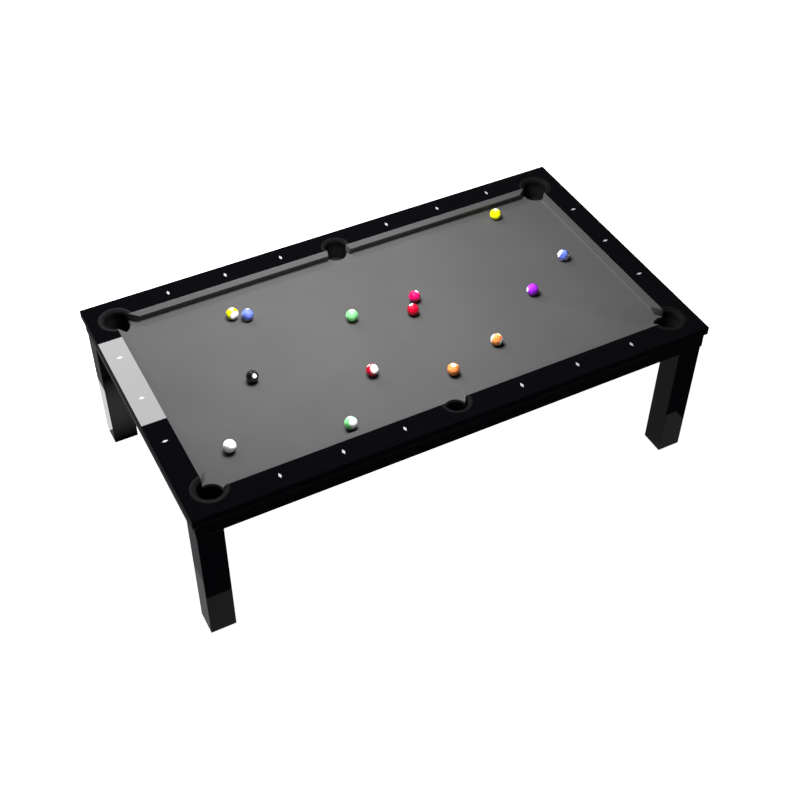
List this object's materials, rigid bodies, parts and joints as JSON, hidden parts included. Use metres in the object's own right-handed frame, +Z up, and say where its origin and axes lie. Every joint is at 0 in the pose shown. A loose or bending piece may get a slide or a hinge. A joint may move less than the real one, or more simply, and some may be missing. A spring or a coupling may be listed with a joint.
{
  "type": "pool table",
  "caption": "Pool table with a slate bed under grey cloth, square black legs and aprons, black mitred top rails with diamond sights, drop pockets, and balls in play.",
  "frame": {"origin": "on the floor under the middle of the bed", "axes": "+X along the length of the table, +Y across it to the far long rail, +Z up"},
  "size_m": [2.537, 1.432, 0.7934],
  "materials": {
    "leg_lacquer": "satin black lacquer",
    "apron_lacquer": "satin black lacquer",
    "rail_lacquer": "polished black lacquer",
    "foot_black": "black oxide",
    "softwood": "planed pine",
    "plate_steel": "mill finish",
    "zinc_steel": "bright zinc",
    "slate": "honed",
    "cloth": "napped grey wool cloth",
    "cushion_cloth": "napped grey wool cloth",
    "facing_rubber": "matte",
    "liner_rubber": "matte, fine grained",
    "cup_rubber": "matte",
    "sight_inlay": "polished white inlay",
    "ball_white": "polished phenolic",
    "ball_yellow": "polished phenolic",
    "ball_blue": "polished phenolic",
    "ball_red": "polished phenolic",
    "ball_purple": "polished phenolic",
    "ball_orange": "polished phenolic",
    "ball_green": "polished phenolic",
    "ball_maroon": "polished phenolic",
    "ball_black": "polished phenolic"
  },
  "bodies": {
    "table": {"leg_front_left": "leg_lacquer", "leg_front_right": "leg_lacquer", "leg_back_left": "leg_lacquer", "leg_back_right": "leg_lacquer", "apron_front": "apron_lacquer", "apron_back": "apron_lacquer", "apron_left": "apron_lacquer", "apron_right": "apron_lacquer", "corner_blocks": "softwood", "leg_plates": "plate_steel", "long_beams": "softwood", "cross_beams": "softwood", "slate_left": "slate", "slate_middle": "slate", "slate_right": "slate", "cloth": "cloth", "rail_front": "rail_lacquer", "rail_back": "rail_lacquer", "rail_left": "rail_lacquer", "rail_right": "rail_lacquer", "cushion_front_left": "cushion_cloth", "cushion_front_right": "cushion_cloth", "cushion_back_left": "cushion_cloth", "cushion_back_right": "cushion_cloth", "cushion_left": "cushion_cloth", "cushion_right": "cushion_cloth", "cushion_facings": "facing_rubber", "liner_front_left": "liner_rubber", "liner_front_right": "liner_rubber", "liner_back_left": "liner_rubber", "liner_back_right": "liner_rubber", "liner_front": "liner_rubber", "liner_back": "liner_rubber", "cup_front_left": "cup_rubber", "cup_front_right": "cup_rubber", "cup_back_left": "cup_rubber", "cup_back_right": "cup_rubber", "cup_front": "cup_rubber", "cup_back": "cup_rubber", "sights": "sight_inlay", "rail_bolts": "zinc_steel", "wood_screws": "zinc_steel"},
    "foot_front_left": {"foot_front_left": "foot_black"},
    "foot_front_right": {"foot_front_right": "foot_black"},
    "foot_back_left": {"foot_back_left": "foot_black"},
    "foot_back_right": {"foot_back_right": "foot_black"},
    "ball_cue": {"ball_cue": "ball_white"},
    "ball_1": {"ball_1": "ball_yellow"},
    "ball_2": {"ball_2": "ball_blue"},
    "ball_3": {"ball_3": "ball_red"},
    "ball_4": {"ball_4": "ball_purple"},
    "ball_5": {"ball_5": "ball_orange"},
    "ball_6": {"ball_6": "ball_green"},
    "ball_7": {"ball_7": "ball_maroon"},
    "ball_8": {"ball_8": "ball_black"},
    "ball_9": {"ball_9": "ball_yellow"},
    "ball_10": {"ball_10": "ball_blue"},
    "ball_11": {"ball_11": "ball_red"},
    "ball_13": {"ball_13": "ball_orange"},
    "ball_14": {"ball_14": "ball_green"}
  },
  "joints": [
    {"name": "foot_front_left_screw", "type": "slide", "parent": "table", "child": "foot_front_left", "axis": [0, 0, -1], "range_m": [0, 0.012]},
    {"name": "foot_front_right_screw", "type": "slide", "parent": "table", "child": "foot_front_right", "axis": [0, 0, -1], "range_m": [0, 0.012]},
    {"name": "foot_back_left_screw", "type": "slide", "parent": "table", "child": "foot_back_left", "axis": [0, 0, -1], "range_m": [0, 0.012]},
    {"name": "foot_back_right_screw", "type": "slide", "parent": "table", "child": "foot_back_right", "axis": [0, 0, -1], "range_m": [0, 0.012]},
    {"name": "ball_cue_lift", "type": "slide", "parent": "table", "child": "ball_cue", "axis": [0, 0, 1], "range_m": [0, 0.15]},
    {"name": "ball_1_lift", "type": "slide", "parent": "table", "child": "ball_1", "axis": [0, 0, 1], "range_m": [0, 0.15]},
    {"name": "ball_2_lift", "type": "slide", "parent": "table", "child": "ball_2", "axis": [0, 0, 1], "range_m": [0, 0.15]},
    {"name": "ball_3_lift", "type": "slide", "parent": "table", "child": "ball_3", "axis": [0, 0, 1], "range_m": [0, 0.15]},
    {"name": "ball_4_lift", "type": "slide", "parent": "table", "child": "ball_4", "axis": [0, 0, 1], "range_m": [0, 0.15]},
    {"name": "ball_5_lift", "type": "slide", "parent": "table", "child": "ball_5", "axis": [0, 0, 1], "range_m": [0, 0.15]},
    {"name": "ball_6_lift", "type": "slide", "parent": "table", "child": "ball_6", "axis": [0, 0, 1], "range_m": [0, 0.15]},
    {"name": "ball_7_lift", "type": "slide", "parent": "table", "child": "ball_7", "axis": [0, 0, 1], "range_m": [0, 0.15]},
    {"name": "ball_8_lift", "type": "slide", "parent": "table", "child": "ball_8", "axis": [0, 0, 1], "range_m": [0, 0.15]},
    {"name": "ball_9_lift", "type": "slide", "parent": "table", "child": "ball_9", "axis": [0, 0, 1], "range_m": [0, 0.15]},
    {"name": "ball_10_lift", "type": "slide", "parent": "table", "child": "ball_10", "axis": [0, 0, 1], "range_m": [0, 0.15]},
    {"name": "ball_11_lift", "type": "slide", "parent": "table", "child": "ball_11", "axis": [0, 0, 1], "range_m": [0, 0.15]},
    {"name": "ball_13_lift", "type": "slide", "parent": "table", "child": "ball_13", "axis": [0, 0, 1], "range_m": [0, 0.15]},
    {"name": "ball_14_lift", "type": "slide", "parent": "table", "child": "ball_14", "axis": [0, 0, 1], "range_m": [0, 0.15]}
  ]
}
